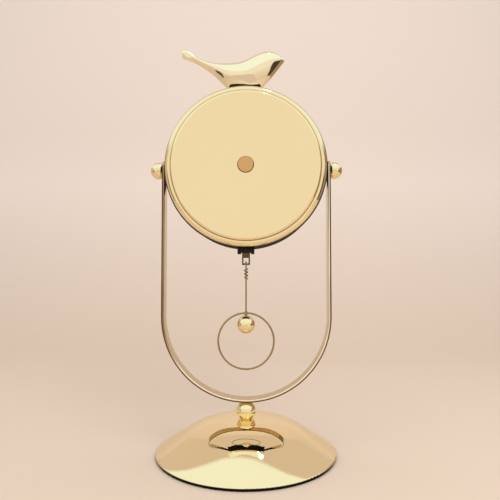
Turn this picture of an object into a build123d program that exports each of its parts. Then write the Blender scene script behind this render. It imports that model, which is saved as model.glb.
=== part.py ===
from build123d import *
import math
import os

os.makedirs("parts", exist_ok=True)

# Desk pendulum clock in millimetres, +Z up, origin at the centre of the underside of the base.
# The dial looks towards +Y. The plain rear cover with its setting knob looks towards -Y.

# Clearances
shaft_room = 0.05
seat_room = 0.2
face_room = 0.05

# Base: a spun dome over an iron weight, on a soft pad
base_radius = 67.5
base_height = 25.0
base_wall = 1.2
rim_height = 0.8
rim_round = 2.6
dome_seat_radius = 8.0
crown_radius = 170.0
crown_reach = 18.0
shoulder_reach = 44.0
shoulder_slope = 29.0
hip_round = 40.0
pad_thickness = 1.6
pad_inset = 1.0
weight_inset = 15.5
weight_thickness = 5.4

# Stem: a stud through a turned ball, with its nut in the weight
stud_radius = 2.5
stud_tail = 0.4
nut_across_flats = 8.0
nut_height = 4.0
stem_washer_radius = 5.5
stem_washer_thickness = 1.0
stem_ball_radius = 7.5
ball_foot_radius = 4.4
ball_top_land = 0.45

# Case, a drum between two upright strips
case_radius = 60.5
case_wall = 2.0
case_back = -16.0
case_front = 15.4
side_gap = 1.7
strip_thickness = 2.2
strip_depth = 12.0
strip_end_rise = 7.4
strip_end_flat = 0.8
strip_edge_round = 0.6
upright_length = 111.6

# Side pivots with their ball nuts
pivot_radius = 2.0
pivot_washer_radius = 4.5
insert_radius = 3.5
insert_length = 8.0
insert_inset = 0.4
boss_wall = 2.0
ball_nut_radius = 6.5
ball_nut_offset = 3.1
ball_nut_bore = 7.0

# Rear cover and setting knob
cover_wall = 1.0
cover_rim_inset = 0.5
cover_rim_depth = 1.0
cover_shoulder_width = 3.3
cover_shoulder_depth = 5.5
cover_step_width = 1.5
cover_step_depth = 2.2
cover_edge_round = 1.6
cover_spigot_depth = 4.0
knob_radius = 5.75
knob_length = 4.6
knob_proud = 1.2
knob_gap = 0.4
knob_edge = 0.5
knob_wall = 1.4

# Dial, spacer, glass and bezel
dial_thickness = 0.8
ledge_width = 4.5
ledge_depth = 2.0
spacer_width = 2.6
glass_gap = 1.0
glass_thickness = 2.0
bezel_width = 5.5
bezel_thickness = 2.0
bezel_round = 1.2
mark_count = 12
mark_width = 2.0
mark_length = 7.0
long_mark_length = 11.0
mark_thickness = 0.5
mark_inset = 4.0

# Movement: a square box with the works above and the battery below
housing_depth = 16.0
housing_wall = 1.2
rubber_thickness = 1.0
rubber_radius = 10.0
bay_room = 0.8
spring_room = 2.1
battery_radius = 7.1
battery_length = 50.5
battery_cap_radius = 2.7
battery_cap_length = 1.2
contact_thickness = 0.5
contact_width = 10.0
bushing_radius = 4.0
bushing_reach = 2.6
bushing_flange_radius = 5.5
bushing_flange_thickness = 0.9
dial_nut_across_flats = 12.0
dial_nut_thickness = 1.6

# Motion work, twelve turns of the minute arbor to one of the hour wheel
gear_module = 0.5
pressure_angle = 20.0
backlash = 0.2
root_room = 0.25
wheel_addendum = 0.5
pinion_addendum = 1.1
cannon_teeth = 10
motion_teeth = 30
motion_pinion_teeth = 8
wheel_thickness = 1.2
arbor_radius = 1.65
pipe_wall = 0.8
motion_post_radius = 0.75
post_seat = 0.8
layer_gap = 0.5

# Hands
hand_thickness = 0.5
hour_hand_length = 31.0
minute_hand_length = 46.0
hour_hand_width = 4.0
minute_hand_width = 3.0
hand_tip_width = 1.0
hand_tail = 9.0
hand_hub_wall = 1.6
hand_gap = 0.9
hand_collar = 0.3
shown_minutes = 10.0
shown_hours = 10.0

# Motor and circuit board
coil_radius = 3.0
coil_length = 13.6
stator_thickness = 1.0
stator_bar = 5.0
stator_leg = 1.8
stator_top = 3.5
board_width = 16.0
board_height = 14.0
board_thickness = 1.0
crystal_radius = 1.0
crystal_length = 6.0
works_margin = 1.0
works_room = 1.3

# Pendulum bracket, lever and drive coil
pendulum_depth = -8.0
bracket_width = 12.6
bracket_depth = 9.0
bracket_drop = 4.2
bracket_notch = 1.0
bracket_neck_wall = 1.2
bracket_neck_rise = 1.0
lever_thickness = 1.3
lever_width = 6.0
lever_play_x = 0.8
lever_play_y = 0.6
pin_radius = 0.75
lever_head = 1.6
loop_reach = 8.2
loop_bar = 1.3
loop_window = 4.0
loop_side = 1.1
stem_width = 3.0
magnet_radius = 3.0
magnet_thickness = 2.0
drive_gap = 0.5
drive_coil_radius = 6.0
drive_coil_bore = 2.0
drive_coil_thickness = 4.0
holder_wall = 1.6
holder_floor = 1.4

# Pendulum rod, ring and ball
wire_radius = 0.55
eye_radius = 1.7
wrap_drop = 1.9
wrap_turns = 3
wrap_pitch = 2.5
wrap_sink = 0.08
rod_length = 36.6
ring_radius = 20.8
ring_wire_radius = 0.7
bob_ball_radius = 7.0
bob_ball_gap = 0.8
joint_bead_radius = 1.5
joint_peg_radius = 0.8
joint_peg_depth = 3.0

# Bird sections along X from the tail to the beak: place, underside, top and half width,
# with heights above the top of the drum. The drum cuts away what lies under its surface.
bird_sections = [
    (-50.0, 28.4, 34.3, 2.4),
    (-40.0, 24.4, 29.9, 3.0),
    (-32.6, 20.0, 25.8, 3.8),
    (-26.0, 15.0, 24.1, 5.0),
    (-19.6, 8.8, 23.3, 7.0),
    (-13.2, 2.6, 23.2, 8.8),
    (-5.0, -1.2, 24.1, 9.8),
    (4.0, -1.2, 28.0, 9.8),
    (12.6, 4.8, 31.9, 8.8),
    (18.5, 10.8, 32.6, 7.4),
    (24.2, 18.0, 30.8, 4.8),
    (27.6, 22.6, 28.4, 2.4),
    (29.4, 25.2, 26.8, 0.6),
]
# Right side of each section from keel to back, as shares of its half width and its height
bird_flank = [(0.36, 0.047), (0.80, 0.30), (0.98, 0.50), (0.95, 0.72), (0.62, 0.93)]
bird_screw_spread = 4.0
bird_screw_radius = 1.25
bird_screw_reach = 6.0
bird_screw_head_radius = 2.3
bird_screw_head_height = 1.8

# Places that follow from the sizes above
bird_screw_places = (-bird_screw_spread, bird_screw_spread)
rim_top = pad_thickness + rim_height
stem_ball_below = math.sqrt(stem_ball_radius**2 - ball_foot_radius**2)
stem_ball_above = math.sqrt(stem_ball_radius**2 - (stud_radius + ball_top_land) ** 2)
frame_bottom = base_height + stem_ball_below + stem_ball_above
frame_half = case_radius + side_gap + strip_thickness
strip_inside = case_radius + side_gap
arc_height = frame_bottom + frame_half
case_height = arc_height + upright_length
frame_top = case_height + strip_end_rise
case_bore = case_radius - case_wall
case_bottom = case_height - case_radius
case_top = case_height + case_radius

strip_end_round = (strip_depth - strip_end_flat) / 2

glass_back = case_front - glass_thickness
hands_depth = 2 * hand_gap + 2 * hand_thickness + hand_collar
spacer_depth = bushing_reach + hands_depth + glass_gap
dial_front = glass_back - spacer_depth
dial_back = dial_front - dial_thickness
housing_front = dial_back - rubber_thickness
housing_back = housing_front - housing_depth
works_front = housing_front - housing_wall
housing_size = battery_length + spring_room + 2 * contact_thickness + 2 * housing_wall
housing_half = housing_size / 2
hour_teeth = cannon_teeth + motion_teeth - motion_pinion_teeth
hour_tip_radius = gear_module * (hour_teeth / 2 + wheel_addendum)
works_floor = case_height - hour_tip_radius - works_room
bay_top = works_floor - housing_wall
bay_floor = bay_top - 2 * battery_radius - 2 * bay_room
housing_bottom = bay_floor - housing_wall
housing_top = housing_bottom + housing_size
works_top = housing_top - housing_wall

stator_left = -housing_half + housing_wall + works_margin
coil_height = works_top - works_margin - stator_top
battery_left = -housing_half + housing_wall + contact_thickness + shaft_room
battery_height = bay_floor + seat_room + battery_radius
battery_depth = works_front - seat_room - battery_radius

gear_distance = gear_module * (cannon_teeth + motion_teeth) / 2
motion_height = case_height + gear_distance
post_front = works_front + post_seat
bushing_front = dial_front + bushing_reach
pipe_radius = arbor_radius + shaft_room + pipe_wall
flange_back = works_front - bushing_flange_thickness
hour_front = flange_back - layer_gap
hour_back = hour_front - wheel_thickness
cannon_front = hour_back - 3 * layer_gap
cannon_length = wheel_thickness + 2 * layer_gap
motion_front = cannon_front - layer_gap
hour_hand_back = bushing_front + hand_gap
minute_hand_back = hour_hand_back + hand_thickness + hand_gap
pipe_front = hour_hand_back + hand_thickness + hand_collar
arbor_front = minute_hand_back + hand_thickness + hand_collar

cover_rim_radius = case_radius - cover_rim_inset
cover_shoulder_radius = cover_rim_radius - cover_shoulder_width
cover_plate_radius = cover_shoulder_radius - cover_step_width
cover_plate_depth = cover_shoulder_depth + cover_step_depth
cover_face = case_back - cover_plate_depth
knob_face = cover_face - knob_proud

bracket_bottom = case_bottom - bracket_drop
slot_half_x = lever_width / 2 + lever_play_x
slot_half_y = lever_thickness / 2 + lever_play_y
neck_half_x = slot_half_x + bracket_neck_wall
neck_half_y = slot_half_y + bracket_neck_wall
swing_height = case_bottom - (bracket_drop - bracket_notch) / 2
loop_bottom = bracket_bottom - loop_reach
hook_height = loop_bottom + loop_bar / 2
magnet_height = case_bottom + case_wall + holder_floor + drive_coil_radius
magnet_front = pendulum_depth + lever_thickness / 2 + magnet_thickness
drive_coil_back = magnet_front + drive_gap
drive_coil_front = drive_coil_back + drive_coil_thickness
rod_top = hook_height - eye_radius
ring_top = hook_height - rod_length
ring_height = ring_top - ring_radius
bob_ball_height = ring_top - ring_wire_radius - bob_ball_gap - bob_ball_radius


def face_of(*lines):
    return make_face([edge for line in lines for edge in line.edges()])


def plate(sketch, front, thickness, x=0.0, z=0.0):
    """A sketch drawn in X and Z, with its front face at Y = front and its body behind that."""
    return extrude(Plane((x, front, z), x_dir=(1, 0, 0), z_dir=(0, -1, 0)) * sketch, thickness)


def ring_sketch(outer, inner):
    return Circle(outer) - Circle(inner)


def upright(radius, bottom, top, x=0.0, y=0.0):
    return Pos(x, y, (bottom + top) / 2) * Cylinder(radius, top - bottom)


def sideways(radius, inside, outside, z=0.0):
    return Pos((inside + outside) / 2, 0, z) * Rot(0, 90, 0) * Cylinder(radius, outside - inside)


def both_sides(shape):
    return Compound([shape, mirror(shape, about=Plane.YZ)])


def block(x_from, x_to, y_from, y_to, z_from, z_to):
    centre = Pos((x_from + x_to) / 2, (y_from + y_to) / 2, (z_from + z_to) / 2)
    return centre * Box(x_to - x_from, y_to - y_from, z_to - z_from)


def drum_solid(radius, back=case_back, front=case_front):
    return plate(Circle(radius), front, front - back, z=case_height)


# Stand


def dome_solid(radius, top, rim, bottom, rounding=0.0):
    """A flat seat, a gentle crown, a round shoulder and a skirt, each running smoothly into the next."""
    gentle = math.asin((crown_reach - dome_seat_radius) / crown_radius)
    steep = math.radians(shoulder_slope)
    shoulder_radius = (shoulder_reach - crown_reach) / (math.sin(steep) - math.sin(gentle))
    crown_drop = crown_radius * (1 - math.cos(gentle))
    shoulder_drop = shoulder_radius * (math.cos(gentle) - math.cos(steep))
    seat = (dome_seat_radius, 0, top)
    reach = (crown_reach, 0, top - crown_drop)
    hip = (shoulder_reach, 0, top - crown_drop - shoulder_drop)
    edge = (radius, 0, rim)
    flat = Line((0, 0, top), seat)
    crown = TangentArc(seat, reach, tangent=(1, 0, 0))
    shoulder = TangentArc(reach, hip, tangent=(math.cos(gentle), 0, -math.sin(gentle)))
    skirt = Line(hip, edge)
    rest = Polyline(edge, (radius, 0, bottom), (0, 0, bottom), (0, 0, top))
    half = face_of(flat, crown, shoulder, skirt, rest)
    half = fillet(half.vertices().sort_by_distance(hip)[0], hip_round)
    if rounding:
        turn = math.radians(skirt.tangent_at(1).get_angle(Vector(0, 0, -1)))
        rim_room = 0.9 * (rim - bottom) / math.tan(turn / 2)
        half = fillet(half.vertices().sort_by_distance(edge)[0], min(rounding, rim_room))
    return revolve(half, axis=Axis.Z)


def base_pad():
    return upright(base_radius - pad_inset, 0, pad_thickness)


def base_dome():
    outside = dome_solid(base_radius, base_height, rim_top, pad_thickness, rim_round)
    inner_top = base_height - base_wall
    inside = dome_solid(base_radius - base_wall, inner_top, rim_top - base_wall / 2, pad_thickness - 1)
    return outside - inside - upright(stud_radius + shaft_room, 0, base_height + 1)


def base_weight():
    disc = upright(base_radius - weight_inset, pad_thickness, pad_thickness + weight_thickness)
    boss = upright(dome_seat_radius, pad_thickness, base_height - base_wall)
    recess_top = pad_thickness + stud_tail + nut_height + stem_washer_thickness
    recess = upright(stem_washer_radius + seat_room, pad_thickness - 1, recess_top)
    return disc + boss - recess - upright(stud_radius + shaft_room, 0, base_height)


def stem_stud():
    return upright(stud_radius, pad_thickness, frame_bottom + strip_thickness)


def stem_nut():
    low = pad_thickness + stud_tail
    corner = nut_across_flats / math.sqrt(3)
    hexagon = extrude(Pos(0, 0, low) * RegularPolygon(corner, 6), nut_height)
    return hexagon - upright(stud_radius + shaft_room, 0, base_height)


def stem_washer():
    low = pad_thickness + stud_tail + nut_height
    disc = upright(stem_washer_radius, low, low + stem_washer_thickness)
    return disc - upright(stud_radius + shaft_room, 0, base_height)


def stem_ball():
    middle = base_height + stem_ball_below
    ball = Pos(0, 0, middle) * Sphere(stem_ball_radius)
    ball &= upright(stem_ball_radius, base_height, frame_bottom)
    return ball - upright(stud_radius + shaft_room, 0, frame_bottom + 1)


def u_frame():
    def legs(half):
        sides = Pos(0, (arc_height + frame_top) / 2) * Rectangle(2 * half, frame_top - arc_height)
        return Pos(0, arc_height) * Circle(half) + sides

    strip = plate(legs(frame_half) - legs(strip_inside), strip_depth / 2, strip_depth)
    corners = strip.edges().filter_by(Axis.X).group_by(Axis.Z)[-1]
    strip = fillet(corners, strip_end_round)
    long_edges = strip.edges() - strip.edges().filter_by(Axis.X)
    strip = fillet(long_edges, min(strip_edge_round, 0.4 * strip_thickness))
    pivot_hole = sideways(pivot_radius + shaft_room, -frame_half - 1, frame_half + 1, case_height)
    stud_hole = upright(stud_radius + shaft_room, frame_bottom - 1, frame_bottom + strip_thickness + 1)
    return strip - pivot_hole - stud_hole


def ball_nut():
    seat = frame_half + face_room
    middle = frame_half + ball_nut_offset
    ball = Pos(middle, 0, case_height) * Sphere(ball_nut_radius)
    ball &= sideways(ball_nut_radius, seat, middle + ball_nut_radius, case_height)
    return ball - sideways(pivot_radius + shaft_room, seat - 1, seat + ball_nut_bore, case_height)


# Case and its pivots


def pivot_stud():
    inside = case_radius - insert_length
    outside = frame_half + ball_nut_bore - seat_room
    return sideways(pivot_radius, inside, outside, case_height)


def pivot_insert():
    inside = case_radius - insert_length
    outside = case_radius - insert_inset
    sleeve = sideways(insert_radius, inside, outside, case_height)
    return sleeve - sideways(pivot_radius + shaft_room, inside - 1, outside + 1, case_height)


def pivot_washer():
    outside = strip_inside - face_room
    disc = sideways(pivot_washer_radius, case_radius, outside, case_height)
    return disc - sideways(pivot_radius + shaft_room, case_radius - 1, outside + 1, case_height)


def bracket_slot():
    neck_top = case_bottom + case_wall + bracket_neck_rise + 1
    return block(-neck_half_x - shaft_room, neck_half_x + shaft_room,
                 pendulum_depth - neck_half_y - shaft_room, pendulum_depth + neck_half_y + shaft_room,
                 case_bottom - 1, neck_top)


def case_drum():
    wall = drum_solid(case_radius) - drum_solid(case_bore)
    ledge = plate(ring_sketch(case_bore, case_bore - ledge_width), dial_back, ledge_depth, z=case_height)
    boss = sideways(insert_radius + boss_wall, case_radius - insert_length, case_radius, case_height)
    boss &= drum_solid(case_radius - case_wall / 2)
    drum = wall + ledge + boss + mirror(boss, about=Plane.YZ)
    bore = sideways(insert_radius + shaft_room, case_radius - insert_length - 1, case_radius + 1, case_height)
    drum = drum - bore - mirror(bore, about=Plane.YZ) - bracket_slot()
    for x in bird_screw_places:
        drum -= upright(bird_screw_radius + shaft_room, case_height, case_top + 1, x)
    return drum


def bird_section(x, low, high, half_width):
    right = [(half_width * across, low + (high - low) * up) for across, up in bird_flank]
    left = [(-across, up) for across, up in reversed(right)]
    outline = Spline((0, low), *right, (0, high), *left, periodic=True)
    return Plane((x, 0, case_top), x_dir=(0, 1, 0), z_dir=(1, 0, 0)) * make_face(outline)


def bird():
    sections = [bird_section(*section) for section in bird_sections]
    body = loft(sections) - drum_solid(case_radius + face_room, 2 * case_back, 2 * case_front)
    hole_top = case_top + bird_screw_reach + seat_room
    for x in bird_screw_places:
        body -= upright(bird_screw_radius + shaft_room, case_height, hole_top, x)
    return body


def bird_screws():
    head_corner = bird_screw_spread + bird_screw_head_radius
    head_top = case_height + math.sqrt(case_bore**2 - head_corner**2) - face_room
    screws = []
    for x in bird_screw_places:
        head = upright(bird_screw_head_radius, head_top - bird_screw_head_height, head_top, x)
        screws.append(head + upright(bird_screw_radius, head_top, case_top + bird_screw_reach, x))
    return Compound(screws)


# Rear cover


def cover_solid(inset, back):
    plate_edge = cover_plate_radius - inset
    face = cover_face + inset
    shoulder = case_back - cover_shoulder_depth + inset
    corner = (cover_shoulder_radius - inset, shoulder)
    rim = (cover_rim_radius - inset, case_back - cover_rim_depth)
    front = Polyline((0, back), (0, face), (plate_edge, face), (plate_edge, shoulder), corner)
    curve = TangentArc(rim, corner, tangent=(0, -1))
    edge = Polyline(rim, (rim[0], back), (0, back))
    half = face_of(front, curve, edge)
    plate_corner = half.vertices().sort_by_distance((plate_edge, face))[0]
    rounding = max(min(cover_edge_round, 0.8 * cover_step_depth) - inset, face_room)
    return Pos(0, 0, case_height) * revolve(fillet(plate_corner, rounding), axis=Axis.Y)


def rear_cover():
    shell = cover_solid(0, case_back) - cover_solid(cover_wall, case_back + 1)
    spigot_radius = case_bore - seat_room
    spigot_bore = spigot_radius - cover_wall
    spigot_front = case_back + cover_spigot_depth
    spigot = plate(ring_sketch(spigot_radius, spigot_bore), spigot_front,
                   cover_spigot_depth + cover_rim_depth, z=case_height)
    flange = plate(ring_sketch(cover_rim_radius, spigot_bore), case_back, cover_rim_depth, z=case_height)
    hole = plate(Circle(knob_radius + knob_gap), case_back, 2 * cover_plate_depth, z=case_height)
    return shell + flange + spigot - hole


# Dial side


def dial():
    sheet = ring_sketch(case_bore - seat_room, bushing_radius + seat_room)
    return plate(sheet, dial_front, dial_thickness, z=case_height)


def hour_marks():
    outer = case_bore - seat_room - spacer_width - mark_inset
    marks = []
    for hour in range(mark_count):
        length = mark_length if hour % 3 else long_mark_length
        baton = Pos(0, outer - length / 2) * Rectangle(mark_width, length)
        turned = Rot(0, 0, 360 * hour / mark_count) * baton
        marks.append(plate(turned, dial_front + mark_thickness, mark_thickness, z=case_height))
    return Compound(marks)


def dial_spacer():
    outer = case_bore - seat_room
    return plate(ring_sketch(outer, outer - spacer_width), glass_back, spacer_depth, z=case_height)


def glass():
    return plate(Circle(case_bore - seat_room), case_front, glass_thickness, z=case_height)


def bezel():
    front = case_front + bezel_thickness
    ring = plate(ring_sketch(case_radius, case_radius - bezel_width), front, bezel_thickness, z=case_height)
    rims = ring.edges().filter_by(GeomType.CIRCLE).group_by(Axis.Y)[-1]
    return fillet(rims, min(bezel_round, 0.6 * bezel_thickness))


# Movement


def movement_housing():
    half = housing_half
    inner = half - housing_wall
    box = block(-half, half, housing_back, housing_front, housing_bottom, housing_top)
    works = block(-inner, inner, housing_back - 1, works_front, works_floor, works_top)
    bay = block(-inner, inner, housing_back - 1, works_front, bay_floor, bay_top)
    hole = plate(Circle(bushing_radius + shaft_room), housing_front + 1, 2 * housing_wall, z=case_height)
    post = plate(Circle(motion_post_radius + shaft_room), post_front, post_seat, z=motion_height)
    return box - works - bay - hole - post


def movement_cover():
    lid = block(-housing_half, housing_half, housing_back - housing_wall, housing_back,
                bay_top, housing_top)
    hole = Circle(arbor_radius + shaft_room)
    return lid - plate(hole, housing_back + 1, 2 * housing_wall + 1, z=case_height)


def rubber_washer():
    return plate(ring_sketch(rubber_radius, bushing_radius + seat_room), dial_back, rubber_thickness,
                 z=case_height)


def centre_bushing():
    bore = pipe_radius + shaft_room
    tube = plate(ring_sketch(bushing_radius, bore), bushing_front, bushing_front - works_front, z=case_height)
    flange = plate(ring_sketch(bushing_flange_radius, bore), works_front, bushing_flange_thickness,
                   z=case_height)
    return tube + flange


def dial_nut():
    hexagon = RegularPolygon(dial_nut_across_flats / math.sqrt(3), 6) - Circle(bushing_radius + shaft_room)
    return plate(hexagon, dial_front + dial_nut_thickness, dial_nut_thickness, z=case_height)


def motion_post():
    back = motion_front - wheel_thickness - layer_gap
    return plate(Circle(motion_post_radius), post_front, post_front - back, z=motion_height)


def motor_coil():
    left = stator_left + stator_leg + shaft_room
    coil = sideways(coil_radius, left, left + coil_length, coil_height)
    return Pos(0, works_front - seat_room - coil_radius, 0) * coil


def motor_stator():
    bar_top = coil_height - coil_radius - seat_room
    right = stator_left + 2 * stator_leg + coil_length + 2 * shaft_room
    back = works_front - stator_thickness
    bar = block(stator_left, right, back, works_front, bar_top - stator_bar, bar_top)
    leg = block(stator_left, stator_left + stator_leg, back, works_front, bar_top, coil_height + stator_top)
    return bar + leg + Pos(right - stator_leg - stator_left, 0, 0) * leg


def circuit_board():
    right = housing_half - housing_wall - works_margin
    top = works_top - works_margin
    return block(right - board_width, right, works_front - board_thickness, works_front,
                 top - board_height, top)


def quartz_crystal():
    right = housing_half - housing_wall - works_margin
    middle = right - board_width / 2
    height = works_top - works_margin - board_height / 2
    can = sideways(crystal_radius, middle - crystal_length / 2, middle + crystal_length / 2, height)
    return Pos(0, works_front - board_thickness - crystal_radius - face_room, 0) * can


def battery():
    cell_right = battery_left + battery_length - battery_cap_length
    cell = sideways(battery_radius, battery_left, cell_right, battery_height)
    cap = sideways(battery_cap_radius, cell_right, cell_right + battery_cap_length, battery_height)
    return Pos(0, battery_depth, 0) * (cell + cap)


def battery_contacts():
    wall = housing_half - housing_wall
    half = contact_width / 2
    low, high = battery_height - half, battery_height + half
    near, far = battery_depth - half, battery_depth + half
    flat = block(-wall, -wall + contact_thickness, near, far, low, high)
    sprung = block(wall - contact_thickness, wall, near, far, low, high)
    reach = battery_left + battery_length + shaft_room
    spring = sideways(battery_cap_radius, reach, wall - contact_thickness, battery_height)
    return Compound([flat, sprung + Pos(0, battery_depth, 0) * spring])


# Motion work and hands


def gear_sketch(teeth, addendum, dedendum, first_tooth):
    """Involute outline with straight flanks under the base circle, first tooth at an angle in degrees."""
    angle = math.radians(pressure_angle)
    pitch_radius = gear_module * teeth / 2
    base = pitch_radius * math.cos(angle)
    root = pitch_radius - gear_module * dedendum
    tip = pitch_radius + gear_module * addendum
    thickness = math.pi * gear_module / 2 - backlash / 2
    half_at_base = thickness / (2 * pitch_radius) + math.tan(angle) - angle
    steps = 4
    radii = [root] + [base + (tip - base) * step / steps for step in range(steps + 1)]

    def half_angle(radius):
        roll = math.acos(min(1.0, base / radius))
        return half_at_base - math.tan(roll) + roll

    points = []
    for tooth in range(teeth):
        middle = math.radians(first_tooth + 360 * tooth / teeth)
        rising = [(radius, middle - half_angle(radius)) for radius in radii]
        falling = [(radius, middle + half_angle(radius)) for radius in reversed(radii)]
        points += [(radius * math.cos(turn), radius * math.sin(turn)) for radius, turn in rising + falling]
    return make_face(Polyline(*points, close=True))


def pinion_sketch(teeth, first_tooth):
    return gear_sketch(teeth, pinion_addendum, wheel_addendum + root_room, first_tooth)


def wheel_sketch(teeth, first_tooth):
    return gear_sketch(teeth, wheel_addendum, pinion_addendum + root_room, first_tooth)


def centre_arbor():
    back = knob_face + knob_wall
    shaft = plate(Circle(arbor_radius), arbor_front, arbor_front - back, z=case_height)
    return shaft + plate(pinion_sketch(cannon_teeth, 90), cannon_front, cannon_length, z=case_height)


def motion_wheel():
    wheel = plate(wheel_sketch(motion_teeth, -90 + 180 / motion_teeth), motion_front, wheel_thickness)
    pinion_front = hour_front + layer_gap / 2
    pinion = plate(pinion_sketch(motion_pinion_teeth, -90), pinion_front, pinion_front - motion_front)
    hole = plate(Circle(motion_post_radius + shaft_room), housing_front, housing_depth)
    return Pos(0, 0, motion_height) * (wheel + pinion - hole)


def hour_wheel():
    wheel = plate(wheel_sketch(hour_teeth, 90 + 180 / hour_teeth), hour_front, wheel_thickness)
    pipe_back = hour_back - layer_gap / 2
    pipe = plate(Circle(pipe_radius), pipe_front, pipe_front - pipe_back)
    hole = plate(Circle(arbor_radius + shaft_room), pipe_front + 1, pipe_front - pipe_back + 2)
    return Pos(0, 0, case_height) * (wheel + pipe - hole)


def hand(length, width, bore, back, turn):
    tail, tip = width / 2, hand_tip_width / 2
    outline = [(-tail, -hand_tail), (tail, -hand_tail), (tip, length), (-tip, length)]
    blade = make_face(Polyline(*outline, close=True))
    shape = Rot(0, 0, turn) * (blade + Circle(bore + hand_hub_wall) - Circle(bore))
    return plate(shape, back + hand_thickness, hand_thickness, z=case_height)


def hour_hand():
    turn = 360 * (shown_hours + shown_minutes / 60) / 12
    return hand(hour_hand_length, hour_hand_width, pipe_radius + shaft_room, hour_hand_back, turn)


def minute_hand():
    turn = 360 * shown_minutes / 60
    return hand(minute_hand_length, minute_hand_width, arbor_radius + shaft_room, minute_hand_back, turn)


def setting_knob():
    body = plate(Circle(knob_radius), knob_face + knob_length, knob_length, z=case_height)
    rim = body.edges().filter_by(GeomType.CIRCLE).group_by(Axis.Y)[0]
    body = fillet(rim, knob_edge)
    depth = knob_length - knob_wall + 1
    return body - plate(Circle(arbor_radius + shaft_room), knob_face + knob_length + 1, depth, z=case_height)


# Pendulum


def pendulum_bracket():
    half_x, half_y = bracket_width / 2, bracket_depth / 2
    y = pendulum_depth
    body = block(-half_x, half_x, y - half_y, y + half_y, bracket_bottom, case_bottom + 1)
    body -= drum_solid(case_radius + face_room, 2 * case_back, 2 * case_front)
    neck_top = case_bottom + case_wall + bracket_neck_rise
    body += block(-neck_half_x, neck_half_x, y - neck_half_y, y + neck_half_y, case_bottom - 1, neck_top)
    slot = block(-slot_half_x, slot_half_x, y - slot_half_y, y + slot_half_y,
                 bracket_bottom - 1, neck_top + 1)
    notch = block(-slot_half_x, slot_half_x, y - half_y - 1, y + half_y + 1,
                  bracket_bottom - 1, bracket_bottom + bracket_notch)
    hole = plate(Circle(pin_radius + shaft_room), y + half_y + 1, bracket_depth + 2, z=swing_height)
    return body - slot - notch - hole


def pendulum_pin():
    return plate(Circle(pin_radius), pendulum_depth + bracket_depth / 2, bracket_depth, z=swing_height)


def coil_holder():
    half = drive_coil_radius + holder_wall
    back = drive_coil_back + drive_gap
    front = drive_coil_front + holder_wall
    body = block(-half, half, back, front, case_bottom, magnet_height)
    body &= drum_solid(case_bore - face_room)
    pocket = plate(Circle(drive_coil_radius + shaft_room), drive_coil_front, 2 * drive_coil_thickness,
                   z=magnet_height)
    return body - pocket


def drive_coil():
    return plate(ring_sketch(drive_coil_radius, drive_coil_bore), drive_coil_front, drive_coil_thickness,
                 z=magnet_height)


def pendulum_lever():
    loop_top = swing_height + lever_head
    loop = Pos(0, (loop_bottom + loop_top) / 2) * Rectangle(lever_width, loop_top - loop_bottom)
    window_height = loop_bottom + loop_bar + loop_window / 2
    window = Pos(0, window_height) * Rectangle(lever_width - 2 * loop_side, loop_window)
    stem = Pos(0, (loop_top + magnet_height) / 2) * Rectangle(stem_width, magnet_height - loop_top)
    seat = Pos(0, magnet_height) * Circle(magnet_radius)
    hole = Pos(0, swing_height) * Circle(pin_radius + shaft_room)
    return plate(loop + stem + seat - window - hole, pendulum_depth + lever_thickness / 2, lever_thickness)


def lever_magnet():
    return plate(Circle(magnet_radius), magnet_front, magnet_thickness, z=magnet_height)


def ring_wire(room=0.0):
    return Pos(0, pendulum_depth, ring_height) * Rot(90, 0, 0) * Torus(ring_radius, ring_wire_radius + room)


def pendulum_rod():
    eye = Pos(0, pendulum_depth, hook_height) * Rot(0, 90, 0) * Torus(eye_radius, wire_radius)
    rod = upright(wire_radius, ring_top, rod_top, 0, pendulum_depth)
    wrap_height = wrap_turns * wrap_pitch
    wrap_low = rod_top - wrap_drop - wrap_height
    helix = Pos(0, pendulum_depth, wrap_low) * Helix(wrap_pitch, wrap_height, 2 * wire_radius - wrap_sink)
    section = Plane(helix @ 0, z_dir=helix % 0) * Circle(wire_radius)
    return eye + rod + sweep(section, path=helix) - ring_wire(face_room)


def pendulum_ring():
    return ring_wire()


def ring_joint():
    bead = Pos(0, pendulum_depth, ring_top) * Sphere(joint_bead_radius)
    peg_bottom = bob_ball_height + bob_ball_radius - joint_peg_depth
    peg = upright(joint_peg_radius, peg_bottom, ring_top, 0, pendulum_depth)
    rod = upright(wire_radius + shaft_room, ring_top, rod_top, 0, pendulum_depth)
    return bead + peg - ring_wire(face_room) - rod


def pendulum_ball():
    ball = Pos(0, pendulum_depth, bob_ball_height) * Sphere(bob_ball_radius)
    top = bob_ball_height + bob_ball_radius
    low = top - joint_peg_depth - seat_room
    return ball - upright(joint_peg_radius + shaft_room, low, top + 1, 0, pendulum_depth)


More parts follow.
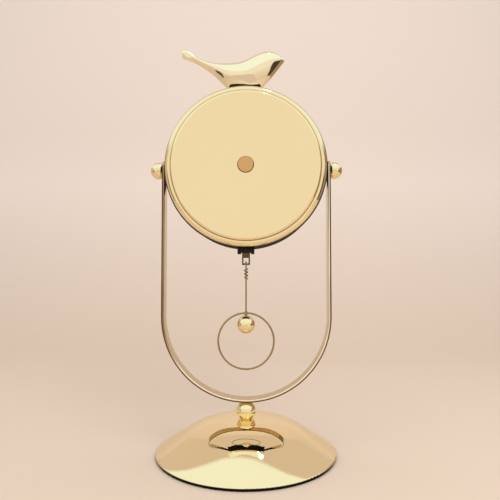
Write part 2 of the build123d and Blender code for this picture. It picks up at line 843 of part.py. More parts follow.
nodes = {
    "base_pad": base_pad(),
    "base_dome": base_dome(),
    "base_weight": base_weight(),
    "stem_stud": stem_stud(),
    "stem_nut": stem_nut(),
    "stem_washer": stem_washer(),
    "stem_ball": stem_ball(),
    "u_frame": u_frame(),
    "right_ball_nut": ball_nut(),
    "left_ball_nut": mirror(ball_nut(), about=Plane.YZ),
    "pivot_studs": both_sides(pivot_stud()),
    "pivot_inserts": both_sides(pivot_insert()),
    "pivot_washers": both_sides(pivot_washer()),
    "case_drum": case_drum(),
    "bird": bird(),
    "bird_screws": bird_screws(),
    "rear_cover": rear_cover(),
    "dial": dial(),
    "hour_marks": hour_marks(),
    "dial_spacer": dial_spacer(),
    "glass": glass(),
    "bezel": bezel(),
    "movement_housing": movement_housing(),
    "movement_cover": movement_cover(),
    "rubber_washer": rubber_washer(),
    "centre_bushing": centre_bushing(),
    "dial_nut": dial_nut(),
    "motion_post": motion_post(),
    "motor_coil": motor_coil(),
    "motor_stator": motor_stator(),
    "circuit_board": circuit_board(),
    "quartz_crystal": quartz_crystal(),
    "battery": battery(),
    "battery_contacts": battery_contacts(),
    "centre_arbor": centre_arbor(),
    "motion_wheel": motion_wheel(),
    "hour_wheel": hour_wheel(),
    "hour_hand": hour_hand(),
    "minute_hand": minute_hand(),
    "setting_knob": setting_knob(),
    "pendulum_bracket": pendulum_bracket(),
    "pendulum_pin": pendulum_pin(),
    "coil_holder": coil_holder(),
    "drive_coil": drive_coil(),
    "pendulum_lever": pendulum_lever(),
    "lever_magnet": lever_magnet(),
    "pendulum_rod": pendulum_rod(),
    "pendulum_ring": pendulum_ring(),
    "ring_joint": ring_joint(),
    "pendulum_ball": pendulum_ball(),
}

for name, shape in nodes.items():
    export_step(shape, f"parts/{name}.step")
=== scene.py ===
import math

import bpy
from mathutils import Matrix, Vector


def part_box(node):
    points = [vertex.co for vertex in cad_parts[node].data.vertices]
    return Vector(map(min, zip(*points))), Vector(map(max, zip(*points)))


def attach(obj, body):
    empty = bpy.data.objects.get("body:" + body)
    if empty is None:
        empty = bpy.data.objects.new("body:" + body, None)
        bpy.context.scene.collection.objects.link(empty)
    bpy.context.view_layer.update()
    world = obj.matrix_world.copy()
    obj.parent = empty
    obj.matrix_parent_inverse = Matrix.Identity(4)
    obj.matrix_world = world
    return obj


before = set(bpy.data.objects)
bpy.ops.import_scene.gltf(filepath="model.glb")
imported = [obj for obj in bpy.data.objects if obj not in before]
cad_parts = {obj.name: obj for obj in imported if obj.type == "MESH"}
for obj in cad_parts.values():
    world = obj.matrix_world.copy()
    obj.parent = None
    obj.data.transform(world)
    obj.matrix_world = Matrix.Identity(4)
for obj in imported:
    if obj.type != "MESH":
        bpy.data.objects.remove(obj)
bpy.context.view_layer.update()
bpy.ops.object.select_all(action="DESELECT")


# Base pad: a disc of dense black felt, glued under the base so that the clock doesn't
# slide or mark the table. Its thin edge shows as a dark line under the gold rim.

def put(tree, kind, inputs=(), **settings):
    """Adds a shader node. An input that is given as a socket is linked to it."""
    node = tree.nodes.new("ShaderNode" + kind)
    for name, value in settings.items():
        setattr(node, name, value)
    for name, value in dict(inputs).items():
        if isinstance(value, bpy.types.NodeSocket):
            tree.links.new(value, node.inputs[name])
        else:
            node.inputs[name].default_value = value
    return node


def reckon(tree, operation, *values):
    """Adds a Math node on sockets or numbers, and gives its result."""
    return put(tree, "Math", dict(enumerate(values)), operation=operation).outputs[0]


def group_of(name, inputs, outputs):
    """An empty shader group with its sockets, and the nodes at its two ends."""
    group = bpy.data.node_groups.new(name, "ShaderNodeTree")
    group.interface.new_socket("Vector", in_out="INPUT", socket_type="NodeSocketVector")
    for socket in inputs:
        group.interface.new_socket(socket, in_out="INPUT", socket_type="NodeSocketFloat")
    for socket in outputs:
        group.interface.new_socket(socket, in_out="OUTPUT", socket_type="NodeSocketFloat")
    return group, group.nodes.new("NodeGroupInput"), group.nodes.new("NodeGroupOutput")


def use_group(finish, group, place, **values):
    """Lays a shader group on a finish, and gives its outputs."""
    inputs = {"Vector": place, **values}
    return put(finish.node_tree, "Group", inputs, node_tree=group).outputs


def place_on(finish):
    """The place on the piece, which all patterns read."""
    return put(finish.node_tree, "TexCoord").outputs["Object"]


def new_finish(name, sockets):
    """A material with its shader, the shader's own values, and the place on the piece."""
    finish = bpy.data.materials.new(name)
    finish.use_nodes = True
    shader = finish.node_tree.nodes["Principled BSDF"]
    for socket, value in sockets.items():
        shader.inputs[socket].default_value = value
    return finish, shader, place_on(finish)


def mix_tones(tree, mask, first, second):
    """Goes from one tone to another by a mask. A tone is a socket or three values."""
    tones = [tone if isinstance(tone, bpy.types.NodeSocket) else (*tone, 1)
             for tone in (first, second)]
    return put(tree, "Mix", {0: mask, 6: tones[0], 7: tones[1]}, data_type="RGBA").outputs[2]


def two_tones(finish, shader, mask, first, second):
    """The colour goes from the first tone to the second by a mask. The first is also the
    plain colour, for a viewer that can't read the pattern."""
    shader.inputs["Base Color"].default_value = (*first, 1)
    toned = mix_tones(finish.node_tree, mask, first, second)
    finish.node_tree.links.new(toned, shader.inputs["Base Color"])


def raise_by(finish, shader, height, depth):
    """A bump of the given depth in metres, on top of one that the finish may have."""
    normal = shader.inputs["Normal"]
    bump = put(finish.node_tree, "Bump", {"Height": height, "Distance": depth})
    if normal.is_linked:
        finish.node_tree.links.new(normal.links[0].from_socket, bump.inputs["Normal"])
    finish.node_tree.links.new(bump.outputs["Normal"], normal)


def dress(finish, *names):
    """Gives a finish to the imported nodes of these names."""
    for name in names:
        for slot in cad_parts[name].material_slots:
            slot.material = finish


mottle_scale = 0.06
grain, grain_in, grain_out = group_of("grain", ["Scale"], ["Height", "Mottle"])
grain_place = grain_in.outputs["Vector"]
fine_scale = grain_in.outputs["Scale"]
wide_scale = reckon(grain, "MULTIPLY", fine_scale, mottle_scale)
fine = put(grain, "TexNoise", {"Vector": grain_place, "Scale": fine_scale,
                               "Detail": 4.0, "Roughness": 0.65})
wide = put(grain, "TexNoise", {"Vector": grain_place, "Scale": wide_scale, "Detail": 2.0})
grain.links.new(fine.outputs["Fac"], grain_out.inputs["Height"])
grain.links.new(wide.outputs["Fac"], grain_out.inputs["Mottle"])

felt_black = (0.003, 0.003, 0.003)
felt_worn = (0.010, 0.009, 0.008)
felt, shader, place = new_finish("black_felt", {"Roughness": 0.95, "Sheen Weight": 0.03,
                                                "Specular IOR Level": 0.1})
fibres = use_group(felt, grain, place, Scale=2600.0)
two_tones(felt, shader, fibres["Height"], felt_black, felt_worn)
raise_by(felt, shader, fibres["Height"], depth=0.0003)
dress(felt, "base_pad")


# Base weight with its nut and washer: a cast iron disc painted dark grey, held up inside the
# dome by a zinc-plated steel nut and washer, which also pull the frame down by its stud.

iron_dark = (0.035, 0.034, 0.033)
iron_grey = (0.075, 0.072, 0.068)
iron, shader, place = new_finish("cast_iron", {"Roughness": 0.7, "Metallic": 0.3})
cast = use_group(iron, grain, place, Scale=1100.0)
two_tones(iron, shader, cast["Mottle"], iron_dark, iron_grey)
raise_by(iron, shader, cast["Height"], depth=0.0004)
dress(iron, "base_weight")


def rough_between(finish, shader, mask, least, most):
    """The roughness goes from the least to the most by a mask. The plain one is between."""
    shader.inputs["Roughness"].default_value = (least + most) / 2
    span = put(finish.node_tree, "MapRange", {"Value": mask, "To Min": least, "To Max": most})
    finish.node_tree.links.new(span.outputs["Result"], shader.inputs["Roughness"])


zinc_blue = (0.55, 0.56, 0.58)
zinc_yellow = (0.68, 0.67, 0.60)
zinc, shader, place = new_finish("zinc_steel", {"Metallic": 1.0})
plating = use_group(zinc, grain, place, Scale=700.0)
two_tones(zinc, shader, plating["Mottle"], zinc_blue, zinc_yellow)
rough_between(zinc, shader, plating["Height"], least=0.2, most=0.42)
dress(zinc, "stem_nut", "stem_washer")


# Base dome: sheet steel spun to a low dome, plated pale gold and polished to a mirror.
# Spinning leaves faint rings about its axis and a slight waviness in its reflections. Its
# lowest edge is painted black, as a painted shadow where it sits on the pad.

gold_pale = (0.93, 0.79, 0.50)
gold_warm = (0.89, 0.735, 0.44)
painted_shadow_black = (0.02, 0.015, 0.012)
painted_shadow_full = 0.0004
painted_shadow_end = 0.0007

wipe_share = 14.0
polish, polish_in, polish_out = group_of("hand_polish", ["Scale"], ["Haze", "Wave"])
polish_place = polish_in.outputs["Vector"]
wave_scale = polish_in.outputs["Scale"]
wipe_scale = reckon(polish, "MULTIPLY", wave_scale, wipe_share)
wave = put(polish, "TexNoise", {"Vector": polish_place, "Scale": wave_scale,
                                "Detail": 1.0}).outputs["Fac"]
wipe = put(polish, "TexNoise", {"Vector": polish_place, "Scale": wipe_scale,
                                "Detail": 5.0, "Roughness": 0.7}).outputs["Fac"]
polish.links.new(reckon(polish, "MULTIPLY", wave, wipe), polish_out.inputs["Haze"])
polish.links.new(wave, polish_out.inputs["Wave"])


def length_of(tree, vector):
    return put(tree, "VectorMath", {0: vector}, operation="LENGTH").outputs["Value"]


def streaks(tree, count):
    """Uneven lines, one for each step of the count."""
    return put(tree, "TexNoise", {"W": count, "Scale": 1.0, "Detail": 3.0},
               noise_dimensions="1D").outputs["Fac"]


turned, turned_in, turned_out = group_of("turned_rings", ["Rings"], ["Rings"])
apart = put(turned, "SeparateXYZ", {"Vector": turned_in.outputs["Vector"]}).outputs
flat = put(turned, "CombineXYZ", {"X": apart["X"], "Y": apart["Y"]}).outputs[0]
along = reckon(turned, "ADD", length_of(turned, flat), apart["Z"])
count = reckon(turned, "MULTIPLY", along, turned_in.outputs["Rings"])
turned.links.new(streaks(turned, count), turned_out.inputs["Rings"])


def lay_on_axis(finish, place, centre, axis_turn):
    """Moves a pattern to a centre and turns its Z along the piece's axis."""
    inputs = {"Vector": place, "Location": centre, "Rotation": axis_turn}
    return put(finish.node_tree, "Mapping", inputs, vector_type="TEXTURE").outputs["Vector"]


def mirror_gold(name, wave_scale, wave_depth, axis_turn=None, centre=(0, 0, 0),
                tones=(gold_pale, gold_warm)):
    """Polished gold plate. A turned piece gets fine rings about its axis."""
    finish, shader, place = new_finish(name, {"Metallic": 1.0})
    rubbed = use_group(finish, polish, place, Scale=wave_scale)
    two_tones(finish, shader, rubbed["Haze"], *tones)
    rough_between(finish, shader, rubbed["Haze"], least=0.005, most=0.05)
    raise_by(finish, shader, rubbed["Wave"], wave_depth)
    if axis_turn is not None:
        laid = lay_on_axis(finish, place, centre, axis_turn)
        lathe = use_group(finish, turned, laid, Rings=2400.0)
        raise_by(finish, shader, lathe["Rings"], depth=4e-7)
    return finish


def ramp(tree, value, start, end):
    """Goes from nought to one as the value goes from the start to the end."""
    inputs = {"Value": value, "From Min": start, "From Max": end}
    return put(tree, "MapRange", inputs).outputs["Result"]


def lay_over(finish, mask, tone):
    """Lays another tone over a finish where the mask is one."""
    colour = finish.node_tree.nodes["Principled BSDF"].inputs["Base Color"]
    toned = mix_tones(finish.node_tree, mask, colour.links[0].from_socket, tone)
    finish.node_tree.links.new(toned, colour)


upright_axis = (0, 0, 0)
dome_gold = mirror_gold("gold_dome", wave_scale=22.0, wave_depth=3e-5, axis_turn=upright_axis)
dome_tree = dome_gold.node_tree
rim_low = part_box("base_dome")[0].z
height = put(dome_tree, "SeparateXYZ", {"Vector": place_on(dome_gold)}).outputs["Z"]
# Painted shadow: the lowest band of the dome goes black where it sits on the pad.
painted_shadow_band = ramp(dome_tree, height, rim_low + painted_shadow_end, rim_low + painted_shadow_full)
lay_over(dome_gold, painted_shadow_band, painted_shadow_black)
dress(dome_gold, "base_dome")


# Stem ball: turned from brass bar, plated like the base and threaded on the stud between
# the base and the frame. Its mirror image hangs under it in the flat top of the dome.

ball_polish = {"wave_scale": 60.0, "wave_depth": 4e-6}
dress(mirror_gold("gold_ball", axis_turn=upright_axis, **ball_polish), "stem_ball")


# Frame: one flat steel strip bent to a U with round ends and plated together with its stud. It
# is only rubbed along its length, so it stays darker and softer than the rest. Its edges carry
# painted light and shade: a painted dark outline on both edges, a painted highlight over it
# that fades out on the left leg, and the darkest painted shade on the outer corner of the bend.

strip_pale = (0.60, 0.46, 0.265)
strip_dull = (0.50, 0.365, 0.20)
painted_shade_edge_tone = (0.38, 0.27, 0.155)
painted_highlight_edge_tone = (0.96, 0.88, 0.69)
painted_corner_shade_tone = (0.14, 0.085, 0.04)
edge_start = 0.0005
edge_full = 0.0002
corner_start = 0.0013
corner_full = 0.0010
highlight_fade_start = 0.003
highlight_fade_full = 0.015

strip, shader, place = new_finish("rubbed_gold_painted_edges", {"Metallic": 1.0})
strip_tree = strip.node_tree
rubbed = use_group(strip, polish, place, Scale=40.0)
two_tones(strip, shader, rubbed["Haze"], strip_pale, strip_dull)
rough_between(strip, shader, rubbed["Haze"], least=0.04, most=0.14)

strip_low, strip_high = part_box("u_frame")
strip_half = strip_high.y
bend_radius = strip_high.x
bend_height = strip_low.z + bend_radius
on_strip = put(strip_tree, "SeparateXYZ", {"Vector": place}).outputs
from_middle = reckon(strip_tree, "ABSOLUTE", on_strip["Y"])
edge = ramp(strip_tree, from_middle, strip_half - edge_start, strip_half - edge_full)
above_bend = reckon(strip_tree, "SUBTRACT", on_strip["Z"], bend_height)
in_bend = reckon(strip_tree, "MINIMUM", above_bend, 0.0)
from_bend = put(strip_tree, "CombineXYZ", {"X": on_strip["X"], "Z": in_bend}).outputs[0]
reach = length_of(strip_tree, from_bend)
outside = ramp(strip_tree, reach, bend_radius - corner_start, bend_radius - corner_full)
highlight_fade_mask = ramp(strip_tree, on_strip["X"], highlight_fade_start - bend_radius, highlight_fade_full - bend_radius)
# Painted shade: a dark outline along both edges of the strip.
lay_over(strip, edge, painted_shade_edge_tone)
# Painted highlight: a bright line on the edges, fading out on the left leg.
lay_over(strip, reckon(strip_tree, "MULTIPLY", edge, highlight_fade_mask), painted_highlight_edge_tone)
# Painted shade: the darkest outline on the edges at the outer corner of the bend.
lay_over(strip, reckon(strip_tree, "MULTIPLY", edge, outside), painted_corner_shade_tone)
dress(strip, "u_frame", "stem_stud")


# Drum: a pressed shell in satin black lacquer between the two strips. It carries the dial
# side, the works and the rear cover, and its black shows in the polished pieces near it.

lacquer_black = (0.006, 0.0055, 0.005)
lacquer_worn = (0.011, 0.010, 0.009)
lacquer, shader, place = new_finish("black_lacquer", {"Specular IOR Level": 0.05})
peel = use_group(lacquer, grain, place, Scale=420.0)
two_tones(lacquer, shader, peel["Mottle"], lacquer_black, lacquer_worn)
rough_between(lacquer, shader, peel["Mottle"], least=0.55, most=0.7)
raise_by(lacquer, shader, peel["Height"], depth=2e-5)
dress(lacquer, "case_drum")


# Side pivots: zinc-plated studs in brass inserts, with a black nylon washer on each side and
# a turned gold ball nut outside each strip that clamps the drum at its tilt.

dress(zinc, "pivot_studs")

brass_bright = (0.82, 0.62, 0.29)
brass_dull = (0.66, 0.47, 0.20)
brass, shader, place = new_finish("turned_brass", {"Metallic": 1.0})
bar = use_group(brass, polish, place, Scale=90.0)
two_tones(brass, shader, bar["Haze"], brass_bright, brass_dull)
rough_between(brass, shader, bar["Haze"], least=0.16, most=0.4)
dress(brass, "pivot_inserts")

moulded_dark = (0.010, 0.010, 0.0105)
moulded_pale = (0.020, 0.0195, 0.0185)
moulded, shader, place = new_finish("moulded_black", {"Specular IOR Level": 0.15})
spark = use_group(moulded, grain, place, Scale=1900.0)
two_tones(moulded, shader, spark["Mottle"], moulded_dark, moulded_pale)
rough_between(moulded, shader, spark["Height"], least=0.38, most=0.6)
raise_by(moulded, shader, spark["Height"], depth=6e-5)
dress(moulded, "pivot_washers")

sideways_axis = (0, math.radians(90), 0)
cover_low, cover_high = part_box("rear_cover")
case_height = (cover_low.z + cover_high.z) / 2
case_middle = (0, 0, case_height)
nut_gold = mirror_gold("gold_nuts", axis_turn=sideways_axis, centre=case_middle, **ball_polish)
dress(nut_gold, "left_ball_nut", "right_ball_nut")


# Works: a quartz movement in a black moulded box, with brass wheels on steel arbors, an AA
# cell, a motor coil of enamelled wire and a small circuit board. A brass bushing through the
# dial holds it, with a rubber washer between.

dress(moulded, "movement_housing", "movement_cover")
dress(brass, "centre_bushing", "motion_wheel", "hour_wheel")
dress(zinc, "centre_arbor", "motion_post", "motor_stator", "quartz_crystal", "battery_contacts")

rubber_black = (0.012, 0.012, 0.012)
rubber_worn = (0.028, 0.027, 0.026)
rubber, shader, place = new_finish("black_rubber", {"Roughness": 0.8})
matt = use_group(rubber, grain, place, Scale=1500.0)
two_tones(rubber, shader, matt["Mottle"], rubber_black, rubber_worn)
raise_by(rubber, shader, matt["Height"], depth=4e-5)
dress(rubber, "rubber_washer")

wire_dark = (0.32, 0.11, 0.035)
wire_bright = (0.66, 0.30, 0.11)
wire, shader, place = new_finish("enamelled_wire", {"Roughness": 0.3, "Metallic": 0.8})
turns = put(wire.node_tree, "TexWave", {"Vector": place, "Scale": 1300.0, "Distortion": 0.4},
            wave_type="BANDS", bands_direction="X").outputs["Fac"]
two_tones(wire, shader, turns, wire_dark, wire_bright)
raise_by(wire, shader, turns, depth=5e-5)
dress(wire, "motor_coil")

mask_dark = (0.015, 0.09, 0.04, 1)
mask_green = (0.02, 0.11, 0.05, 1)
track_green = (0.05, 0.19, 0.09, 1)
board, shader, place = new_finish("solder_mask", {"Base Color": mask_green, "Roughness": 0.35})
tracks = put(board.node_tree, "TexBrick", {"Vector": place, "Scale": 260.0, "Mortar Size": 0.06,
                                           "Color1": mask_dark, "Color2": mask_green,
                                           "Mortar": track_green})
board.node_tree.links.new(tracks.outputs["Color"], shader.inputs["Base Color"])
dress(board, "circuit_board")

sleeve_pale = (0.62, 0.63, 0.65)
sleeve_grey = (0.40, 0.41, 0.43)
cell, shader, place = new_finish("cell_sleeve", {"Metallic": 0.4})
scuffs = use_group(cell, polish, place, Scale=70.0)
two_tones(cell, shader, scuffs["Haze"], sleeve_pale, sleeve_grey)
rough_between(cell, shader, scuffs["Haze"], least=0.25, most=0.5)
dress(cell, "battery")


# Dial: a white lacquered steel plate under a black spacer ring, fixed by a brass nut, with a
# sunray brushed under its lacquer. Twelve polished gold bars are pinned to it, and a fine
# minute track is printed outside them.

dress(brass, "dial_nut")
dress(moulded, "dial_spacer")

enamel_cream = (0.80, 0.78, 0.73)
enamel_white = (0.88, 0.865, 0.83)
sunray_lines = 60.0
enamel, shader, place = new_finish("dial_white", {"Coat Weight": 0.3})
centred = put(enamel.node_tree, "Mapping", {"Vector": place, "Location": (0, 0, -case_height)})
on_dial = put(enamel.node_tree, "SeparateXYZ", {"Vector": centred.outputs["Vector"]}).outputs
ray = reckon(enamel.node_tree, "ARCTAN2", on_dial["X"], on_dial["Z"])
brushed = streaks(enamel.node_tree, reckon(enamel.node_tree, "MULTIPLY", ray, sunray_lines))
two_tones(enamel, shader, brushed, enamel_cream, enamel_white)
rough_between(enamel, shader, brushed, least=0.28, most=0.42)
dress(enamel, "dial")
dress(mirror_gold("gold_marks", wave_scale=80.0, wave_depth=2e-6), "hour_marks")

tick_count = 60
tick_width = 0.0004
tick_length = 0.0017
tick_thickness = 0.00005
tick_reach = 0.0534
dial_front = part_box("dial")[1].y
first_tick = (0, dial_front + tick_thickness / 2, case_height + tick_reach)
bpy.ops.mesh.primitive_cube_add(size=1, location=first_tick)
minute_track = bpy.context.object
minute_track.name = "minute_track"
minute_track.scale = (tick_width, tick_thickness, tick_length)
bpy.ops.object.transform_apply(location=True, rotation=True, scale=True)
bpy.ops.object.mode_set(mode="EDIT")
bpy.ops.mesh.select_all(action="SELECT")
bpy.ops.mesh.spin(steps=tick_count - 1, dupli=True, axis=(0, 1, 0),
                  angle=math.radians(360 * (tick_count - 1) / tick_count),
                  center=(0, dial_front, case_height))
bpy.ops.object.mode_set(mode="OBJECT")

ink_black = (0.02, 0.019, 0.018)
ink_grey = (0.045, 0.042, 0.04)
ink, shader, place = new_finish("dial_ink", {"Roughness": 0.5})
print_grain = use_group(ink, grain, place, Scale=4000.0)
two_tones(ink, shader, print_grain["Height"], ink_black, ink_grey)
minute_track.data.materials.append(ink)
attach(minute_track, "case")


# Hands: two pointers stamped from thin steel and sprayed satin black, pressed on the hour
# pipe and the minute arbor in front of the dial.

hand_dark = (0.01, 0.01, 0.01)
hand_grey = (0.022, 0.021, 0.02)
satin_black, shader, place = new_finish("satin_black", {"Metallic": 0.4})
stroked = use_group(satin_black, grain, place, Scale=1200.0)
two_tones(satin_black, shader, stroked["Mottle"], hand_dark, hand_grey)
rough_between(satin_black, shader, stroked["Height"], least=0.28, most=0.45)
dress(satin_black, "hour_hand", "minute_hand")


# Glass and bezel: a flat disc of clear glass on the spacer, which lets the lamps' light on to
# the dial, held by a turned gold ring that is pressed over the front edge of the drum.

glass_tone = (0.985, 0.992, 0.988, 1)
clear, shader, place = new_finish("clear_glass", {"Base Color": glass_tone, "IOR": 1.5,
                                                  "Transmission Weight": 1.0})
clear_tree = clear.node_tree
smear = use_group(clear, polish, place, Scale=18.0)
rough_between(clear, shader, smear["Haze"], least=0.0, most=0.03)
path = put(clear_tree, "LightPath").outputs
lit_path = reckon(clear_tree, "MAXIMUM", path["Is Shadow Ray"], path["Is Diffuse Ray"])
let_through = put(clear_tree, "BsdfTransparent").outputs["BSDF"]
pane = put(clear_tree, "MixShader", {0: lit_path, 1: shader.outputs["BSDF"], 2: let_through})
clear_tree.links.new(pane.outputs[0], clear_tree.nodes["Material Output"].inputs["Surface"])
dress(clear, "glass")

facing_axis = (math.radians(90), 0, 0)
bezel_gold = mirror_gold("gold_bezel", wave_scale=40.0, wave_depth=4e-6, axis_turn=facing_axis,
                         centre=case_middle)
dress(bezel_gold, "bezel")


# Rear cover: spun and stepped at its edge, plated gold and polished, pushed into the back of
# the drum by its spigot. Its groove is painted brown as painted shade, and its rim is painted
# black as a painted shadow where it meets the drum. The setting knob in its middle is satin
# copper.

groove_radius = 0.0553
groove_full = 0.0003
groove_end = 0.0005
painted_groove_shade = (0.42, 0.28, 0.13)
rim_start = 0.0008
rim_full = 0.0005
painted_rim_shadow = (0.03, 0.02, 0.015)
rim_radius = cover_high.x
cover_gold = mirror_gold("gold_cover", wave_scale=14.0, wave_depth=1e-5, axis_turn=facing_axis,
                         centre=case_middle)
cover_tree = cover_gold.node_tree
flat = put(cover_tree, "Mapping", {"Vector": place_on(cover_gold), "Scale": (1, 0, 1),
                                   "Location": (0, 0, -case_height)}).outputs["Vector"]
reach = length_of(cover_tree, flat)
from_groove = reckon(cover_tree, "ABSOLUTE", reckon(cover_tree, "SUBTRACT", reach, groove_radius))
groove = ramp(cover_tree, from_groove, groove_end, groove_full)
rim = ramp(cover_tree, reach, rim_radius - rim_start, rim_radius - rim_full)
# Painted shade: a brown band in the groove of the step.
lay_over(cover_gold, groove, painted_groove_shade)
# Painted shadow: a black band along the rim, where the cover meets the drum.
lay_over(cover_gold, rim, painted_rim_shadow)
dress(cover_gold, "rear_cover")

copper_deep = (0.63, 0.355, 0.15)
copper_pale = (0.79, 0.49, 0.225)
copper, shader, place = new_finish("satin_copper", {"Metallic": 1.0, "Anisotropic": 0.4})
laid = lay_on_axis(copper, place, case_middle, facing_axis)
lathe = use_group(copper, turned, laid, Rings=5200.0)
two_tones(copper, shader, lathe["Rings"], copper_deep, copper_pale)
rough_between(copper, shader, lathe["Rings"], least=0.3, most=0.5)
raise_by(copper, shader, lathe["Rings"], depth=2e-6)
dress(copper, "setting_knob")


# Bird: cast zinc alloy, ground smooth by hand, plated gold and polished. Two screws from
# inside the drum hold it, and the black drum shows in its belly.

bird_pale = (0.95, 0.85, 0.61)
bird_warm = (0.91, 0.79, 0.54)
bird_gold = mirror_gold("gold_bird", wave_scale=45.0, wave_depth=1.2e-5,
                        tones=(bird_pale, bird_warm))
dress(bird_gold, "bird")
dress(zinc, "bird_screws")


# Pendulum: a black moulded bracket under the drum with a drive coil above it, a lever of
# blackened bronze with a magnet that hangs in the bracket on a blued steel pin, and a drawn
# bronze wire with a ring, a solder bead and a gold ball.

dress(moulded, "pendulum_bracket", "coil_holder")
dress(wire, "drive_coil")
dress(zinc, "lever_magnet")

blued_dark = (0.012, 0.012, 0.016)
blued_pale = (0.03, 0.029, 0.034)
blued, shader, place = new_finish("blued_steel", {"Roughness": 0.35, "Metallic": 0.6})
oiled = use_group(blued, grain, place, Scale=1500.0)
two_tones(blued, shader, oiled["Mottle"], blued_dark, blued_pale)
dress(blued, "pendulum_pin")

bronze_bright = (0.41, 0.30, 0.165)
bronze_dull = (0.26, 0.185, 0.095)
bronze, shader, place = new_finish("bronze_wire", {"Metallic": 1.0})
drawn = use_group(bronze, polish, place, Scale=160.0)
two_tones(bronze, shader, drawn["Haze"], bronze_bright, bronze_dull)
rough_between(bronze, shader, drawn["Haze"], least=0.06, most=0.22)
dress(bronze, "pendulum_rod", "pendulum_ring", "ring_joint")

smoke_brown = (0.13, 0.09, 0.05)
smoke_black = (0.05, 0.034, 0.02)
blackened, shader, place = new_finish("blackened_bronze", {"Metallic": 1.0})
smoked = use_group(blackened, polish, place, Scale=200.0)
two_tones(blackened, shader, smoked["Haze"], smoke_brown, smoke_black)
rough_between(blackened, shader, smoked["Haze"], least=0.1, most=0.3)
dress(blackened, "pendulum_lever")
dress(mirror_gold("gold_bob", **ball_polish), "pendulum_ball")


# Table and backdrop: one wide sheet of pale uncoated paper, laid flat under the clock and
# curved up behind it, warmer at the table and paler up the wall.

sheet_half = 0.75
sheet_front = -0.65
sheet_back = 0.9
sheet_rise = 1.1
sheet_bend = 0.5
near = 0.01


def at_back(middle):
    return middle.y > sheet_back - near


def at_fold(middle):
    return at_back(middle) and abs(middle.z) < near and abs(middle.x) < near


def pick_edges(piece, test):
    """Enters edit mode with only those edges selected whose middle passes the test."""
    bpy.ops.object.mode_set(mode="EDIT")
    bpy.ops.mesh.select_mode(type="EDGE")
    bpy.ops.mesh.select_all(action="DESELECT")
    bpy.ops.object.mode_set(mode="OBJECT")
    for side in piece.data.edges:
        start, end = (piece.data.vertices[corner].co for corner in side.vertices)
        side.select = test((start + end) / 2)
    bpy.ops.object.mode_set(mode="EDIT")


bpy.ops.object.select_all(action="DESELECT")
bpy.ops.mesh.primitive_plane_add(size=1, location=(0, (sheet_front + sheet_back) / 2, 0))
table = bpy.context.object
table.name = "table_sheet"
table.scale = (2 * sheet_half, sheet_back - sheet_front, 1)
bpy.ops.object.transform_apply(location=True, rotation=True, scale=True)
pick_edges(table, at_back)
bpy.ops.mesh.extrude_region_move(TRANSFORM_OT_translate={"value": (0, 0, sheet_rise)})
pick_edges(table, at_fold)
bpy.ops.mesh.bevel(offset=sheet_bend, segments=24)
bpy.ops.object.mode_set(mode="OBJECT")
bpy.ops.object.shade_smooth()

paper_warm = (0.655, 0.525, 0.414)
paper_pale = (0.855, 0.722, 0.634)
pale_height = 0.37
pulp_share = 0.06
paper, shader, place = new_finish("pale_paper", {"Roughness": 0.9})
height = put(paper.node_tree, "SeparateXYZ", {"Vector": place}).outputs["Z"]
upper = ramp(paper.node_tree, height, 0.0, pale_height)
pulp = use_group(paper, grain, place, Scale=300.0)
toned = reckon(paper.node_tree, "MULTIPLY_ADD", pulp["Mottle"], pulp_share, upper)
two_tones(paper, shader, toned, paper_warm, paper_pale)
table.data.materials.append(paper)


# Light: a broad soft panel overhead, a small one at the front, and a pale room that the
# polished pieces show: its ceiling with a lamp, the wall behind, the front, and darker sides.

def soft_panel(name, side, power, spot, aim):
    """A square lamp that lights the pieces but doesn't show, also not in the polish."""
    bpy.ops.object.light_add(type="AREA", location=spot)
    panel = bpy.context.object
    panel.name = name
    panel.data.size = side
    panel.data.energy = power
    panel.rotation_mode = "QUATERNION"
    panel.rotation_quaternion = (Vector(aim) - Vector(spot)).to_track_quat("-Z", "Y")
    panel.visible_camera = False
    panel.visible_glossy = False


soft_panel("overhead_panel", side=1.6, power=7.6, spot=(0.0, -0.22, 1.2), aim=(0, -0.1, 0))
soft_panel("front_panel", side=0.5, power=3.0, spot=(0.3, -0.6, 0.7), aim=(0, -0.1, 0.05))

ground_strength = 0.7
front_colour = (0.95, 0.885, 0.79)
table_colour = (0.73, 0.58, 0.455)
ceiling_colour = (0.99, 1.08, 1.05)
wall_colour = (0.735, 0.615, 0.538)
backdrop_colour = (0.84, 0.69, 0.585)
left_colour = (0.66, 0.53, 0.41)
right_colour = (0.38, 0.27, 0.18)
dark_colour = (0.07, 0.048, 0.03)
lamp_colour = (10.0, 10.0, 9.6)
lamp_direction = (0.2, -0.15, 0.968)

# Each band is where a direction into the room goes from one colour to the next.
table_band = (-0.05, -0.38)
left_right_band = (-0.1, 0.1)
side_band = (-0.35, -0.15)
ceiling_band = (0.36, 0.5)
wall_band = (-0.004, 0.004)
low_band = (0.2, 0.04)
left_dark_across = (-0.86, -0.90)
left_dark_away = (-0.18, -0.26)
right_dark_across = (0.82, 0.86)
right_dark_away = (-0.12, -0.2)
lamp_band = (0.9984, 0.9990)
wall_lean = -0.084
wall_arch = -0.72

room = bpy.data.worlds.new("pale_room")
room.use_nodes = True
bpy.context.scene.world = room
room_tree = room.node_tree
ground = room_tree.nodes["Background"]
ground.inputs["Color"].default_value = (1.0, 1.0, 1.0, 1)
ground.inputs["Strength"].default_value = ground_strength
direction = put(room_tree, "TexCoord").outputs["Generated"]
parts = put(room_tree, "SeparateXYZ", {"Vector": direction}).outputs
across, away, upward = parts["X"], parts["Y"], parts["Z"]

facing = mix_tones(room_tree, ramp(room_tree, upward, *table_band), front_colour, table_colour)
beside = mix_tones(room_tree, ramp(room_tree, across, *left_right_band), left_colour, right_colour)
around = mix_tones(room_tree, ramp(room_tree, away, *side_band), facing, beside)
overhead = mix_tones(room_tree, ramp(room_tree, upward, *ceiling_band), around, ceiling_colour)

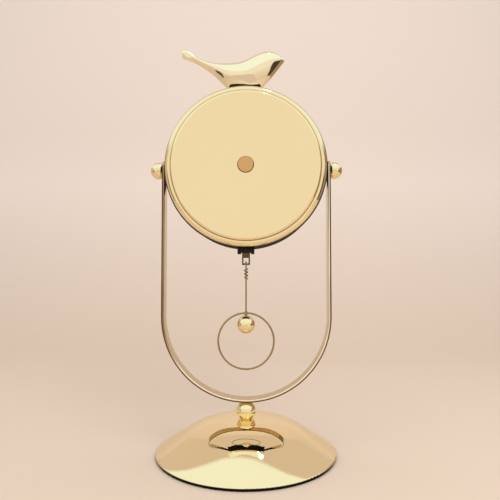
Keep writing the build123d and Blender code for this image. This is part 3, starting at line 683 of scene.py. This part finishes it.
leaning = reckon(room_tree, "MULTIPLY_ADD", upward, wall_lean, away)
rising = reckon(room_tree, "MULTIPLY", leaning, upward)
outward = reckon(room_tree, "MULTIPLY", across, across)
behind = reckon(room_tree, "MULTIPLY_ADD", outward, wall_arch, rising)
shade = mix_tones(room_tree, ramp(room_tree, behind, *wall_band), overhead, wall_colour)

low = ramp(room_tree, upward, *low_band)
for across_band, away_band in ((left_dark_across, left_dark_away),
                               (right_dark_across, right_dark_away)):
    corner = reckon(room_tree, "MULTIPLY", ramp(room_tree, across, *across_band),
                    ramp(room_tree, away, *away_band))
    low_corner = reckon(room_tree, "MULTIPLY", low, corner)
    shade = mix_tones(room_tree, low_corner, shade, dark_colour)

near_lamp = put(room_tree, "VectorMath", {0: direction, 1: lamp_direction},
                operation="DOT_PRODUCT").outputs["Value"]
lit = mix_tones(room_tree, ramp(room_tree, near_lamp, *lamp_band), shade, lamp_colour)

mirrored = put(room_tree, "Background", {"Color": lit}).outputs[0]
plain = put(room_tree, "Background", {"Color": (*backdrop_colour, 1)}).outputs[0]
path = put(room_tree, "LightPath").outputs
direct = reckon(room_tree, "MAXIMUM", path["Is Camera Ray"], path["Is Transmission Ray"])
unseen = put(room_tree, "MixShader", {0: path["Is Glossy Ray"], 1: ground.outputs[0],
                                      2: mirrored}).outputs[0]
shown = put(room_tree, "MixShader", {0: direct, 1: unseen, 2: plain}).outputs[0]
room_tree.links.new(shown, room_tree.nodes["World Output"].inputs["Surface"])


# Camera: at the photograph's place, close behind the clock and a little below its middle, so
# that the base is seen from above and the bird from below.

eye = (0.00788, -0.3730, 0.13794)
sight = Vector((-0.01343, 0.99913, 0.03955))
bpy.ops.object.camera_add(location=eye)
camera = bpy.context.object
camera.name = "camera"
camera.data.lens = 34.95
camera.data.sensor_width = 36.0
camera.data.clip_start = 0.01
camera.rotation_mode = "QUATERNION"
camera.rotation_quaternion = sight.to_track_quat("-Z", "Y")
bpy.context.scene.camera = camera
bpy.context.scene.view_settings.view_transform = "Standard"
